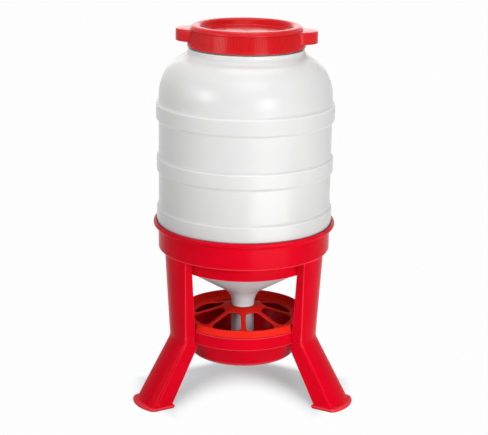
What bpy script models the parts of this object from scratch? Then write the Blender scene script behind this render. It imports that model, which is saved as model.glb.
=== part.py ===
"""Gravity feeder for poultry: a blow-moulded hopper barrel with a screw lid stands in a collar on three
splayed legs, and its funnel runs through a spoked grid into the feed bowl that the legs carry.

Metres, +Z up. The origin is on the ground, on the barrel's axis.
"""
import math

import bmesh
import bpy
from mathutils import Matrix

# Fits between pieces
FIT = 0.0003               # gap where two pieces touch
SLIDE_PLAY = 0.0008        # gap round a piece that turns or slides on another
HUB_PLAY = 0.0012          # gap between the grid's hub and the outlet
DROP_IN_PLAY = 0.001       # gap round a piece that is dropped into its seat

# Feed bowl
BOWL_HEIGHT = 0.140        # ground to the underside of the bowl's band
BAND_RADIUS = 0.1535
BAND_HEIGHT = 0.030
BAND_FILLET = 0.003
BOWL_WALL = 0.0025
CUP_STEP = 0.0095          # the cup hangs this far inside the band
CUP_DEPTH = 0.0515         # underside of the band to the underside of the cup
CUP_DRAFT = 0.023          # the cup's floor corner stands this far inside its mouth
CUP_CORNER = 0.020
SPREADER_RADIUS = 0.046    # cone in the middle of the bowl that spreads the feed
SPREADER_TIP_RADIUS = 0.010
SPREADER_HEIGHT = 0.018
SPREADER_FILLET = 0.005

# Grid over the bowl
GRID_WALL = 0.003
GRID_LIP_HEIGHT = 0.0155
GRID_LIP_LEAN = 0.005      # the lip's top stands this far inside its foot
GRID_LIP_TOP = 0.003       # width of the lip's top
GRID_LIP_DRAFT = 0.0025    # slope of the lip's inner face
GRID_LIP_FILLET = 0.0013
GRID_RING_WIDTH = 0.023    # flat ring between the foot of the spokes and the lip
GRID_FLOOR_RISE = 0.0022   # that ring above the bowl's band
GRID_SPIGOT = 0.010        # depth of the spigot that drops into the bowl
HUB_RISE = 0.0290          # hub's top above the foot of the spokes
HUB_SLEEVE = 0.014         # length of the hub's sleeve round the outlet
SPOKES = 8
SPOKE_BEARING = 270.0      # degrees; one spoke points to the front
SPOKE_WIDTH = 0.0115
WINDOW_INNER_RADIUS = 0.051
WINDOW_MARGIN = 0.0045     # between the windows and the flat ring
WINDOW_FILLET = 0.012

# Hopper barrel, with heights above the barrel's base
BARREL_RADIUS = 0.1955
BARREL_WALL = 0.003
LOWER_BAND_RISE = 0.0043
LOWER_BAND_TOP = 0.098
MIDDLE_BAND_RISE = 0.0047
MIDDLE_BAND_FOOT = 0.179
MIDDLE_BAND_TOP = 0.2145
UPPER_BAND_RISE = 0.006
UPPER_BAND_FOOT = 0.2965
UPPER_BAND_TOP = 0.335
BAND_EDGE = 0.004          # height of a band's sloping edge
WALL_HEIGHT = 0.3482       # base to the spring of the dome
DOME_HEIGHT = 0.0935
DOME_REACH = 0.075         # half width of the dome's ellipse
SHOULDER_HEIGHT = 0.0155   # ring under the lid, above the dome
SHOULDER_STEP = 0.0105     # the ring stands this far out from the neck
NECK_RADIUS = 0.120
NECK_HEIGHT = 0.0433       # shoulder to mouth
FOOT_STEP = 0.0073         # the barrel's foot is drawn in by this much, to enter the collar
BASE_CORNER = 0.006
SPIGOT_FILLET = 0.004      # where the base turns down into the funnel
OUTLET_RADIUS = 0.0268     # outside of the funnel's tube
FLARE_RADIUS = 0.044       # between tube and cone
CONE_SLOPE = 30.9          # degrees
HUB_TO_FLARE = 0.003       # plain tube between the hub's top and the flare

# Screw thread of neck and lid
THREAD_PITCH = 0.012
THREAD_TURNS = 1.15
THREAD_DEPTH = 0.0025
THREAD_WIDTH = 0.004
THREAD_BURY = 0.001        # how deep a ridge is rooted in its wall
THREAD_BELOW_MOUTH = 0.008

# Flow regulator
REGULATOR_WALL = 0.0025
REGULATOR_LENGTH = 0.070
REGULATOR_BELOW_HUB = 0.006  # its top below the hub's top
STUB_LENGTH = 0.045        # narrowed end of the outlet that the sleeve slides on

# Collar
COLLAR_WALL = 0.003
COLLAR_DEPTH = 0.0645      # underside of the ledge to the top of the lip
COLLAR_FILLET = 0.0025
LIP_REACH = 0.0112
LIP_HEIGHT = 0.009
LIP_UNDERCUT = 0.004       # rise of the lip's underside
LIP_FLARE = 0.014          # height of the flare inside the lip
LEDGE_WIDTH = 0.030
SKIRT_HEIGHT = 0.0345

# Legs
LEG_BEARINGS = {"leg_left": 210.0, "leg_right": 330.0, "leg_rear": 90.0}
LEG_WALL = 0.003
FACE_CURVE = 0.093         # radius of the leg's round face
LEG_INSET = 0.0029         # crown of the leg's face inside the collar's wall
LEG_TOP_HALF_WIDTH = 0.0477
KNEE_DEPTH = 0.028         # crown of the leg's face outside the bowl's band
KNEE_HALF_WIDTH = 0.0378
KNEE_ABOVE_BAND = 0.005    # above the underside of the bowl's band
FOOT_SPLAY = 0.0885        # crown of the leg's face at the ground outside the knee
FOOT_HALF_WIDTH = 0.0437
FOOT_DEPTH = 0.0557        # crown to the inner edge of the side walls, at the ground
TOE_FLANGE = (0.0095, 0.0075, 0.004)  # past the leg's face, its sides and the inner edge of its side walls
NO_TOE = (0.0, 0.0, 0.0)
TOE_THICKNESS = 0.007

# Screws
SCREW_RADIUS = 0.0019
SCREW_LENGTH = 0.0095
SCREW_HEAD_RADIUS = 0.0040
SCREW_HEAD_HEIGHT = 0.0020
SCREW_SPREAD = 0.022       # each of a leg's two screws off the leg's middle
UPPER_SCREW_DROP = 0.017   # below the collar's ledge
LOWER_SCREW_RISE = 0.0135  # above the underside of the bowl's band

# Lid
LID_WALL = 0.0025
NECK_ROOM = 0.0033         # lid's skirt off the neck, at its top
LID_DRAFT = 0.0065         # skirt's foot wider than its top
LID_SKIRT_GAP = 0.0036     # skirt's foot above the barrel's shoulder
RING_HEIGHT = 0.010
RING_WIDTH = 0.0205
RING_ROUND = 0.0095
RECESS_DEPTH = 0.015
RECESS_SLOPE = 0.006
RECESS_FILLET = 0.004
SEAL_THICKNESS = 0.003
SEAL_WIDTH = 0.005
SEAL_INSET = 0.0012        # its edge inside the barrel's mouth
SEAL_ROOM = 0.001          # the lid's rounded ring above it
EAR_BEARING = -6.5         # degrees
EAR_RADIUS = 0.041
EAR_REACH = 0.0265         # ear's tip beyond the skirt's foot
EAR_HEIGHT = 0.0267

# Facets
ROUND_STEPS = 32
SCREW_STEPS = 8
DOME_STEPS = 5
EAR_STEPS = 20
LEG_FACE_STEPS = 6
ARC_ERROR = 0.0005         # how far a fillet's chords may lie off its arc
FILLET_SHARE = 0.45        # a fillet takes at most this share of a side with a fillet at its other end too
LONE_FILLET_SHARE = 0.95   # and of a side whose other end is sharp
SHARP_ANGLE = 35.0         # degrees; edges that turn more are shaded sharp
MERGE_DISTANCE = 1e-6

RED = (0.80, 0.012, 0.022)
LID_RED = (0.70, 0.012, 0.016)
GRID_RED = (0.80, 0.035, 0.022)
MILKY_WHITE = (0.80, 0.81, 0.81)
SEAL_GREY = (0.08, 0.08, 0.085)
ZINC = (0.55, 0.56, 0.58)

for leftover in list(bpy.data.objects):
    bpy.data.objects.remove(leftover, do_unlink=True)


def finish(name, colour, roughness, metallic=0.0):
    """A plain Principled material for one kind of piece."""
    material = bpy.data.materials.new(name)
    material.use_nodes = True
    shader = material.node_tree.nodes["Principled BSDF"]
    shader.inputs["Base Color"].default_value = (*colour, 1.0)
    shader.inputs["Roughness"].default_value = roughness
    shader.inputs["Metallic"].default_value = metallic
    return material


red_plastic = finish("red_plastic", RED, 0.35)
lid_plastic = finish("lid_plastic", LID_RED, 0.35)
grid_plastic = finish("grid_plastic", GRID_RED, 0.35)
milky_plastic = finish("milky_plastic", MILKY_WHITE, 0.40)
seal_foam = finish("seal_foam", SEAL_GREY, 0.85)
zinc_steel = finish("zinc_steel", ZINC, 0.35, 1.0)


def rounded(corners, closed=False):
    """Points of a path whose corners are (x, y, fillet); a fillet is kept within its two sides."""
    points = []
    count = len(corners)
    for index, (x, y, fillet) in enumerate(corners):
        if fillet == 0 or (not closed and index in (0, count - 1)):
            points.append((x, y))
            continue
        before = corners[index - 1]
        after = corners[(index + 1) % count]
        into = math.atan2(y - before[1], x - before[0])
        out = math.atan2(after[1] - y, after[0] - x)
        turn = (out - into + math.pi) % (2 * math.pi) - math.pi
        room = min(math.dist((x, y), end[:2]) * (FILLET_SHARE if end[2] else LONE_FILLET_SHARE)
                   for end in (before, after))
        reach = min(fillet * math.tan(abs(turn) / 2), room)
        radius = reach / math.tan(abs(turn) / 2)
        side = math.copysign(math.pi / 2, turn)
        start = (x - reach * math.cos(into), y - reach * math.sin(into))
        centre = (start[0] + radius * math.cos(into + side), start[1] + radius * math.sin(into + side))
        steps = math.ceil(abs(turn) / (2 * math.acos(1 - min(ARC_ERROR / radius, 1))))
        for step in range(steps + 1):
            angle = into - side + turn * step / steps
            points.append((centre[0] + radius * math.cos(angle), centre[1] + radius * math.sin(angle)))
    return points


def walled(path, wall):
    """Closed outline of a shell: the path down its outer side, and the same path a wall further in."""
    inner = []
    for index, (x, y) in enumerate(path):
        sides = []
        if index > 0:
            sides.append((x - path[index - 1][0], y - path[index - 1][1]))
        if index < len(path) - 1:
            sides.append((path[index + 1][0] - x, path[index + 1][1] - y))
        normals = [(dy / math.hypot(dx, dy), -dx / math.hypot(dx, dy)) for dx, dy in sides]
        first, last = normals[0], normals[-1]
        mitre = wall / (1 + first[0] * last[0] + first[1] * last[1])
        inner.append((x + mitre * (first[0] + last[0]), y + mitre * (first[1] + last[1])))
    return path + inner[::-1]


def add_object(name, bm, material=None):
    """One named object from a bmesh, shaded smooth apart from its sharp edges."""
    bmesh.ops.recalc_face_normals(bm, faces=bm.faces)
    mesh = bpy.data.meshes.new(name)
    bm.to_mesh(mesh)
    bm.free()
    mesh.shade_smooth()
    mesh.set_sharp_from_angle(angle=math.radians(SHARP_ANGLE))
    if material:
        mesh.materials.append(material)
    piece = bpy.data.objects.new(name, mesh)
    bpy.context.collection.objects.link(piece)
    return piece


def turned(name, outline, material=None):
    """Spin an outline of (radius, height) round Z; one that starts on the axis ends on it too."""
    bm = bmesh.new()
    verts = [bm.verts.new((radius, 0.0, height)) for radius, height in outline]
    for first, second in zip(verts, verts[1:]):
        bm.edges.new((first, second))
    if outline[0][0] > 0:
        bm.edges.new((verts[-1], verts[0]))
    bmesh.ops.spin(bm, geom=bm.verts[:] + bm.edges[:], cent=(0, 0, 0), axis=(0, 0, 1),
                   angle=2 * math.pi, steps=ROUND_STEPS, use_merge=True)
    bmesh.ops.remove_doubles(bm, verts=bm.verts, dist=MERGE_DISTANCE)
    return add_object(name, bm, material)


def lofted(name, sections, material=None):
    """Join closed outlines, one for each height from the bottom up, all with as many points, into a solid."""
    bm = bmesh.new()
    rings = [[bm.verts.new((x, y, height)) for x, y in outline] for height, outline in sections]
    for lower, upper in zip(rings, rings[1:]):
        for index in range(len(lower)):
            bm.faces.new((lower[index - 1], lower[index], upper[index], upper[index - 1]))
    ends = [bm.faces.new(rings[0][::-1]), bm.faces.new(rings[-1])]
    bmesh.ops.triangulate(bm, faces=ends)
    bmesh.ops.remove_doubles(bm, verts=bm.verts, dist=MERGE_DISTANCE)
    return add_object(name, bm, material)


def shape_with(piece, tool, operation):
    """Cut a tool out of a piece, or join it on; the tool isn't a piece itself."""
    tool.hide_render = True
    tool.display_type = "WIRE"
    boolean = piece.modifiers.new(tool.name, "BOOLEAN")
    boolean.operation = operation
    boolean.solver = "EXACT"
    boolean.object = tool


def helix_ridge(name, crest_radius, root_radius_at, start_height):
    """A thread ridge: a tapered face run up a helix, rooted in a wall whose radius may change with height."""
    bm = bmesh.new()
    steps = round(THREAD_TURNS * ROUND_STEPS)
    half = THREAD_WIDTH / 2
    shape = ((False, -half), (True, -half / 2), (True, half / 2), (False, half))
    rings = []
    for step in range(steps + 1):
        angle = THREAD_TURNS * 2 * math.pi * step / steps
        middle = start_height + THREAD_TURNS * THREAD_PITCH * step / steps
        ring = []
        for on_crest, offset in shape:
            radius = crest_radius if on_crest else root_radius_at(middle + offset)
            ring.append(bm.verts.new((radius * math.cos(angle), radius * math.sin(angle), middle + offset)))
        rings.append(ring)
    for lower, upper in zip(rings, rings[1:]):
        for index in range(len(shape)):
            bm.faces.new((lower[index - 1], lower[index], upper[index], upper[index - 1]))
    bm.faces.new(rings[0])
    bm.faces.new(rings[-1])
    return add_object(name, bm)


# Heights and radii that follow from the driving sizes, from the ground up
band_top = BOWL_HEIGHT + BAND_HEIGHT
cup_bottom = BOWL_HEIGHT - CUP_DEPTH
cup_mouth_radius = BAND_RADIUS - CUP_STEP
grid_seat = band_top + FIT
spoke_foot = grid_seat + GRID_FLOOR_RISE
hub_top = spoke_foot + HUB_RISE
hub_bore = OUTLET_RADIUS + HUB_PLAY
cone_slope = math.radians(CONE_SLOPE)
flare_start = hub_top + HUB_TO_FLARE
cone_foot = flare_start + FLARE_RADIUS * math.tan((math.pi / 2 - cone_slope) / 2)
lower_radius = BARREL_RADIUS + LOWER_BAND_RISE
foot_radius = lower_radius - FOOT_STEP
collar_inner = foot_radius + DROP_IN_PLAY
collar_outer = collar_inner + COLLAR_WALL
skirt_outer = collar_outer - LEDGE_WIDTH
skirt_inner = skirt_outer - COLLAR_WALL
head_room = SCREW_HEAD_HEIGHT + 2 * FIT + DROP_IN_PLAY
spigot_radius = skirt_inner - head_room
skirt_bottom = cone_foot + (spigot_radius - OUTLET_RADIUS) * math.tan(cone_slope)
ledge_bottom = skirt_bottom + SKIRT_HEIGHT
ledge_top = ledge_bottom + COLLAR_WALL
collar_top = ledge_bottom + COLLAR_DEPTH
barrel_base = ledge_top + FIT
dome_spring = barrel_base + WALL_HEIGHT
shoulder_radius = NECK_RADIUS + SHOULDER_STEP
shoulder_top = dome_spring + DOME_HEIGHT + SHOULDER_HEIGHT
mouth = shoulder_top + NECK_HEIGHT
regulator_top = hub_top - REGULATOR_BELOW_HUB
stub_radius = OUTLET_RADIUS - REGULATOR_WALL - SLIDE_PLAY

# Empties: the stand on the ground, and the axis that the hopper lifts on and the lid turns on
stand = bpy.data.objects.new("stand", None)
hopper = bpy.data.objects.new("hopper", None)
screw_cap = bpy.data.objects.new("screw_cap", None)
for empty in (stand, hopper, screw_cap):
    bpy.context.collection.objects.link(empty)
hopper.parent = stand
screw_cap.parent = hopper


# Feed bowl: a band for the legs and the grid, a cup hung inside it, and a spreader cone in the middle
bowl_path = rounded([
    (BAND_RADIUS, band_top, 0),
    (BAND_RADIUS, BOWL_HEIGHT, BAND_FILLET),
    (cup_mouth_radius, BOWL_HEIGHT, BAND_FILLET),
    (cup_mouth_radius - CUP_DRAFT, cup_bottom, CUP_CORNER),
    (SPREADER_RADIUS, cup_bottom, SPREADER_FILLET),
    (SPREADER_TIP_RADIUS, cup_bottom + SPREADER_HEIGHT, SPREADER_FILLET),
    (0.0, cup_bottom + SPREADER_HEIGHT, 0),
])
feed_bowl = turned("feed_bowl", walled(bowl_path, BOWL_WALL)[::-1], red_plastic)
feed_bowl.parent = stand


# Grid: a hub round the outlet, a cone cut into spokes, a flat ring, and a lip that stands on the bowl's band
lip_foot_radius = BAND_RADIUS - DROP_IN_PLAY
lip_top_radius = lip_foot_radius - GRID_LIP_LEAN
lip_inner_radius = lip_top_radius - GRID_LIP_TOP
floor_radius = lip_inner_radius - GRID_LIP_DRAFT
spoke_end = floor_radius - GRID_RING_WIDTH
lip_top = grid_seat + GRID_LIP_HEIGHT
spigot_outer = BAND_RADIUS - BOWL_WALL - head_room
spigot_foot = grid_seat - GRID_SPIGOT
sleeve_radius = hub_bore + GRID_WALL
sleeve_top = hub_top - HUB_RISE * GRID_WALL / (spoke_end - hub_bore) - GRID_WALL
grid_outline = rounded([
    (hub_bore, hub_top, 0),
    (spoke_end, spoke_foot, 0),
    (floor_radius, spoke_foot, GRID_LIP_FILLET),
    (lip_inner_radius, lip_top, GRID_LIP_FILLET),
    (lip_top_radius, lip_top, GRID_LIP_FILLET),
    (lip_foot_radius, grid_seat, 0),
    (spigot_outer, grid_seat, 0),
    (spigot_outer, spigot_foot, 0),
    (spigot_outer - GRID_WALL, spigot_foot, 0),
    (floor_radius - GRID_WALL, spoke_foot - GRID_WALL, GRID_LIP_FILLET),
    (spoke_end, spoke_foot - GRID_WALL, 0),
    (sleeve_radius, sleeve_top, 0),
    (sleeve_radius, hub_top - HUB_SLEEVE, 0),
    (hub_bore, hub_top - HUB_SLEEVE, 0),
], closed=True)
feed_grid = turned("feed_grid", grid_outline, grid_plastic)
feed_grid.parent = stand

window_outer_radius = spoke_end - WINDOW_MARGIN
half_pitch = math.pi / SPOKES
for spoke in range(SPOKES):
    middle = math.radians(SPOKE_BEARING) + (2 * spoke + 1) * half_pitch
    corners = []
    for radius, sides in ((WINDOW_INNER_RADIUS, (-1, 1)), (window_outer_radius, (1, 0.5, 0, -0.5, -1))):
        edge = half_pitch - math.asin(SPOKE_WIDTH / 2 / radius)
        for side in sides:
            angle = middle + side * edge
            fillet = WINDOW_FILLET if abs(side) == 1 else 0
            corners.append((radius * math.cos(angle), radius * math.sin(angle), fillet))
    outline = rounded(corners, closed=True)
    window = lofted(f"grid_window_{spoke + 1}", [(spigot_foot, outline), (flare_start, outline)])
    shape_with(feed_grid, window, "DIFFERENCE")


# Hopper barrel: one blow-moulded shell from the threaded neck down to the end of the outlet
dome_middle = BARREL_RADIUS - DOME_REACH
dome_start = math.acos((shoulder_radius - dome_middle) / DOME_REACH)
dome = []
for step in range(DOME_STEPS + 1):
    angle = dome_start * (1 - step / DOME_STEPS)
    dome.append((dome_middle + DOME_REACH * math.cos(angle), dome_spring + DOME_HEIGHT * math.sin(angle), 0))


def moulded_band(rise, foot, top):
    """Corners of a raised band, from its top edge down to its bottom edge."""
    return [
        (BARREL_RADIUS, barrel_base + top + BAND_EDGE / 2, 0),
        (BARREL_RADIUS + rise, barrel_base + top - BAND_EDGE / 2, 0),
        (BARREL_RADIUS + rise, barrel_base + foot + BAND_EDGE / 2, 0),
        (BARREL_RADIUS, barrel_base + foot - BAND_EDGE / 2, 0),
    ]


barrel_path = rounded([
    (NECK_RADIUS, mouth, 0),
    (NECK_RADIUS, shoulder_top, 0),
    (shoulder_radius, shoulder_top, 0),
    *dome,
    *moulded_band(UPPER_BAND_RISE, UPPER_BAND_FOOT, UPPER_BAND_TOP),
    *moulded_band(MIDDLE_BAND_RISE, MIDDLE_BAND_FOOT, MIDDLE_BAND_TOP),
    (BARREL_RADIUS, barrel_base + LOWER_BAND_TOP + BAND_EDGE / 2, 0),
    (lower_radius, barrel_base + LOWER_BAND_TOP - BAND_EDGE / 2, 0),
    (lower_radius, collar_top + DROP_IN_PLAY, 0),
    (foot_radius, collar_top - LIP_FLARE + DROP_IN_PLAY, 0),
    (foot_radius, barrel_base, BASE_CORNER),
    (spigot_radius, barrel_base, SPIGOT_FILLET),
    (spigot_radius, skirt_bottom, SPIGOT_FILLET),
    (OUTLET_RADIUS, cone_foot, FLARE_RADIUS),
    (OUTLET_RADIUS, regulator_top + FIT, 0),
    (stub_radius, regulator_top + FIT, 0),
    (stub_radius, regulator_top - STUB_LENGTH, 0),
])
barrel = turned("barrel", walled(barrel_path, BARREL_WALL), milky_plastic)
barrel.parent = hopper

thread_start = mouth - THREAD_BELOW_MOUTH - THREAD_TURNS * THREAD_PITCH
neck_root = NECK_RADIUS - THREAD_BURY
neck_thread = helix_ridge("neck_thread", NECK_RADIUS + THREAD_DEPTH, lambda height: neck_root, thread_start)
shape_with(barrel, neck_thread, "UNION")


# Flow regulator: a sleeve that slides on the end of the outlet and sets the feed gap
flow_regulator = turned("flow_regulator", [
    (OUTLET_RADIUS, regulator_top),
    (OUTLET_RADIUS, regulator_top - REGULATOR_LENGTH),
    (OUTLET_RADIUS - REGULATOR_WALL, regulator_top - REGULATOR_LENGTH),
    (OUTLET_RADIUS - REGULATOR_WALL, regulator_top),
], milky_plastic)
flow_regulator.parent = hopper


# Collar: a flared lip, a wall round the barrel's foot, a ledge that carries it, and a skirt for the legs
collar_outline = rounded([
    (lower_radius + DROP_IN_PLAY + FIT, collar_top, 0),
    (collar_outer + LIP_REACH, collar_top, COLLAR_FILLET),
    (collar_outer + LIP_REACH, collar_top - LIP_HEIGHT, COLLAR_FILLET),
    (collar_outer, collar_top - LIP_HEIGHT - LIP_UNDERCUT, COLLAR_FILLET),
    (collar_outer, ledge_bottom, COLLAR_FILLET),
    (skirt_outer, ledge_bottom, 0),
    (skirt_outer, skirt_bottom, 0),
    (skirt_inner, skirt_bottom, 0),
    (skirt_inner, ledge_top, COLLAR_FILLET),
    (collar_inner, ledge_top, COLLAR_FILLET),
    (collar_inner, collar_top - LIP_FLARE, 0),
], closed=True)
collar = turned("collar", collar_outline, red_plastic)
collar.parent = stand


# Legs: a channel that opens inwards, bent out at the knee, with a pad at each end for its screws
leg_top = ledge_bottom - FIT
knee = BOWL_HEIGHT + KNEE_ABOVE_BAND
shelf = BOWL_HEIGHT - FIT   # the side walls step in under the bowl's band
shelf_foot = shelf - BAND_FILLET
knee_crown = BAND_RADIUS + KNEE_DEPTH
leg_top_crown = collar_outer - LEG_INSET
foot_crown = knee_crown + FOOT_SPLAY


def between(low, high, share):
    """The value at a share of the way from low to high."""
    return low + (high - low) * share


def face_arc(crown, curve, half_width, turned_back=False):
    """Points of an arc across a leg that points along +X; its crown stands off the barrel's axis."""
    reach = math.asin(half_width / curve) * (-1 if turned_back else 1)
    angles = [reach * (2 * step / LEG_FACE_STEPS - 1) for step in range(LEG_FACE_STEPS + 1)]
    return [(crown - curve + curve * math.cos(angle), curve * math.sin(angle)) for angle in angles]


def channel(crown, half_width, inner_edge, toe):
    """Outline of the leg's section: a round face with two side walls, and a toe flange where there is one."""
    toe_reach, toe_side, toe_end = toe
    inside = half_width - LEG_WALL
    outside = half_width + toe_side
    outer_edge = inner_edge - toe_end
    return [(outer_edge, -outside), *face_arc(crown + toe_reach, FACE_CURVE, outside), (outer_edge, outside),
            (inner_edge, inside), *face_arc(crown - LEG_WALL, FACE_CURVE - LEG_WALL, inside, True),
            (inner_edge, -inside)]


def leg_face(height):
    """Crown and half width of the leg's face at a height, splayed below the knee."""
    if height < knee:
        share = height / knee
        return between(foot_crown, knee_crown, share), between(FOOT_HALF_WIDTH, KNEE_HALF_WIDTH, share)
    share = (height - knee) / (leg_top - knee)
    return between(knee_crown, leg_top_crown, share), between(KNEE_HALF_WIDTH, LEG_TOP_HALF_WIDTH, share)


def seated_edge(seat_radius, half_width):
    """Inner edge of side walls that stand against a round wall."""
    return math.sqrt((seat_radius + FIT) ** 2 - (half_width - LEG_WALL) ** 2)


def seated(height, seat_radius):
    """Section at a height where the side walls reach in to a round wall."""
    crown, half_width = leg_face(height)
    return (height, channel(crown, half_width, seated_edge(seat_radius, half_width), NO_TOE))


def foot(height, toe=NO_TOE):
    """Section of the splayed foot at a height, its side walls running in to the bowl's cup."""
    crown, half_width = leg_face(height)
    shelf_edge = seated_edge(cup_mouth_radius, leg_face(shelf_foot)[1])
    inner_edge = between(foot_crown - FOOT_DEPTH, shelf_edge, height / shelf_foot)
    return (height, channel(crown, half_width, inner_edge, toe))


leg_sections = [
    foot(0.0, TOE_FLANGE),
    foot(TOE_THICKNESS, TOE_FLANGE),
    foot(TOE_THICKNESS),
    foot(shelf_foot),
    seated(shelf, BAND_RADIUS),
    seated(knee, BAND_RADIUS),
    seated(band_top, BAND_RADIUS),
    seated(skirt_bottom, skirt_outer),
    seated(leg_top, skirt_outer),
]


def pad(name, foot_height, head_height, seat_radius):
    """The plate that closes the channel against a round wall and takes its screws."""
    sections = []
    for height in (foot_height, head_height):
        reach = leg_face(height)[1] - LEG_WALL / 2
        near = seat_radius + FIT
        far = near + LEG_WALL
        sections.append((height, face_arc(near, near, reach, True) + face_arc(far, far, reach)))
    return lofted(name, sections)


def rod(name, radius, start, end, height):
    """A plain rod along +X, from start to end off the axis."""
    bm = bmesh.new()
    place = Matrix.Translation(((start + end) / 2, 0, height)) @ Matrix.Rotation(math.pi / 2, 4, "Y")
    bmesh.ops.create_cone(bm, cap_ends=True, segments=SCREW_STEPS, radius1=radius, radius2=radius,
                          depth=end - start, matrix=place)
    return add_object(name, bm)


def pan_screw(name, seat, height):
    """A screw along +X: its head bears on the inside of a round wall, its shank goes into the pad outside."""
    bm = bmesh.new()
    head_middle = seat - SCREW_HEAD_HEIGHT / 2
    place = Matrix.Translation((head_middle, 0, height)) @ Matrix.Rotation(math.pi / 2, 4, "Y")
    bmesh.ops.create_cone(bm, cap_ends=True, segments=SCREW_STEPS, radius1=SCREW_HEAD_RADIUS,
                          radius2=SCREW_HEAD_RADIUS, depth=SCREW_HEAD_HEIGHT, matrix=place)
    under_head = max(bm.faces, key=lambda face: face.calc_center_median().x)
    bmesh.ops.inset_region(bm, faces=[under_head], thickness=SCREW_HEAD_RADIUS - SCREW_RADIUS)
    shank = bmesh.ops.extrude_face_region(bm, geom=[under_head])
    tip = [item for item in shank["geom"] if isinstance(item, bmesh.types.BMVert)]
    bmesh.ops.translate(bm, verts=tip, vec=(SCREW_LENGTH, 0, 0))
    bmesh.ops.delete(bm, geom=[under_head], context="FACES_ONLY")
    return add_object(name, bm, zinc_steel)


flat_share = math.cos(math.pi / ROUND_STEPS)   # a round wall's flats lie this much nearer the axis
screw_rows = {
    "upper": (collar, skirt_inner * flat_share - FIT, ledge_bottom - UPPER_SCREW_DROP),
    "lower": (feed_bowl, (BAND_RADIUS - BOWL_WALL) * flat_share - FIT, BOWL_HEIGHT + LOWER_SCREW_RISE),
}
for leg_name, bearing in LEG_BEARINGS.items():
    leg = lofted(leg_name, leg_sections, red_plastic)
    leg.rotation_euler.z = math.radians(bearing)
    leg.parent = stand
    for plate in (pad(f"{leg_name}_lower_pad", knee, band_top, BAND_RADIUS),
                  pad(f"{leg_name}_upper_pad", skirt_bottom, leg_top - FIT, skirt_outer)):
        plate.rotation_euler.z = leg.rotation_euler.z
        shape_with(leg, plate, "UNION")
    for row, (held, seat, height) in screw_rows.items():
        for number, side in enumerate((-1, 1), start=1):
            screw = pan_screw(f"{leg_name}_{row}_screw_{number}", seat, height)
            hole = rod(f"{screw.name}_hole", SCREW_RADIUS + FIT, seat, seat + SCREW_LENGTH + FIT, height)
            for piece in (screw, hole):
                piece.rotation_euler.z = leg.rotation_euler.z + side * math.asin(SCREW_SPREAD / seat)
            screw.parent = stand
            shape_with(held, hole, "DIFFERENCE")
            shape_with(leg, hole, "DIFFERENCE")


# Lid: a ringed cap with a sunk middle, a drafted skirt with a thread inside, and two hollow ears
seal_bottom = mouth + FIT
lid_top = seal_bottom + SEAL_THICKNESS + FIT + SEAL_ROOM + LID_WALL
ring_foot = lid_top - RING_HEIGHT
skirt_top_radius = NECK_RADIUS + NECK_ROOM + LID_WALL
skirt_foot_radius = skirt_top_radius + LID_DRAFT
skirt_foot = shoulder_top + LID_SKIRT_GAP
ring_inner = skirt_top_radius - RING_WIDTH
lid_path = rounded([
    (0.0, lid_top - RECESS_DEPTH, 0),
    (ring_inner - RECESS_SLOPE, lid_top - RECESS_DEPTH, RECESS_FILLET),
    (ring_inner, lid_top, RING_ROUND),
    (skirt_top_radius, lid_top, RING_ROUND),
    (skirt_top_radius, ring_foot, 0),
    (skirt_foot_radius, skirt_foot, 0),
])
lid = turned("lid", walled(lid_path, LID_WALL), lid_plastic)
lid.parent = screw_cap


def skirt_middle(height):
    """Radius of the middle of the skirt's wall at a height."""
    share = (height - skirt_foot) / (ring_foot - skirt_foot)
    return between(skirt_foot_radius, skirt_top_radius, share) - LID_WALL / 2


lid_thread_start = thread_start - THREAD_PITCH / 2
lid_thread = helix_ridge("lid_thread", NECK_RADIUS + SLIDE_PLAY, skirt_middle, lid_thread_start)
shape_with(lid, lid_thread, "UNION")

core_top = ring_foot + LID_WALL
ear_core = turned("ear_core", [
    (0.0, core_top),
    (skirt_middle(core_top), core_top),
    (skirt_middle(skirt_foot), skirt_foot),
    (0.0, skirt_foot),
])


def ear_disc(radius, middle):
    """Outline of a round ear."""
    angles = [2 * math.pi * step / EAR_STEPS for step in range(EAR_STEPS)]
    return [(middle + radius * math.cos(angle), radius * math.sin(angle)) for angle in angles]


ear_middle = skirt_foot_radius + EAR_REACH - EAR_RADIUS
for name, bearing in (("ear_right", EAR_BEARING), ("ear_left", EAR_BEARING + 180.0)):
    disc = ear_disc(EAR_RADIUS, ear_middle)
    ear = lofted(name, [(ring_foot - EAR_HEIGHT, disc), (ring_foot, disc)])
    hollow_disc = ear_disc(EAR_RADIUS - LID_WALL, ear_middle)
    hollow = lofted(f"{name}_hollow", [(skirt_foot, hollow_disc), (ring_foot - LID_WALL, hollow_disc)])
    for piece in (ear, hollow):
        piece.rotation_euler.z = math.radians(bearing)
    shape_with(ear, hollow, "DIFFERENCE")
    shape_with(ear, ear_core, "DIFFERENCE")
    shape_with(lid, ear, "UNION")


# Seal: a flat ring between the barrel's mouth and the lid
seal_radius = NECK_RADIUS - SEAL_INSET
lid_seal = turned("lid_seal", [
    (seal_radius, seal_bottom + SEAL_THICKNESS),
    (seal_radius, seal_bottom),
    (seal_radius - SEAL_WIDTH, seal_bottom),
    (seal_radius - SEAL_WIDTH, seal_bottom + SEAL_THICKNESS),
], seal_foam)
lid_seal.parent = screw_cap
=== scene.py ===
"""A gravity feeder for poultry: a milky hopper barrel under a red screw lid, a red collar on three splayed
legs, and a feed bowl with a spoked grid. Metres, +Z up, on the frame's own axes."""
import math

import bmesh
import bpy
from mathutils import Matrix, Vector


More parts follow.
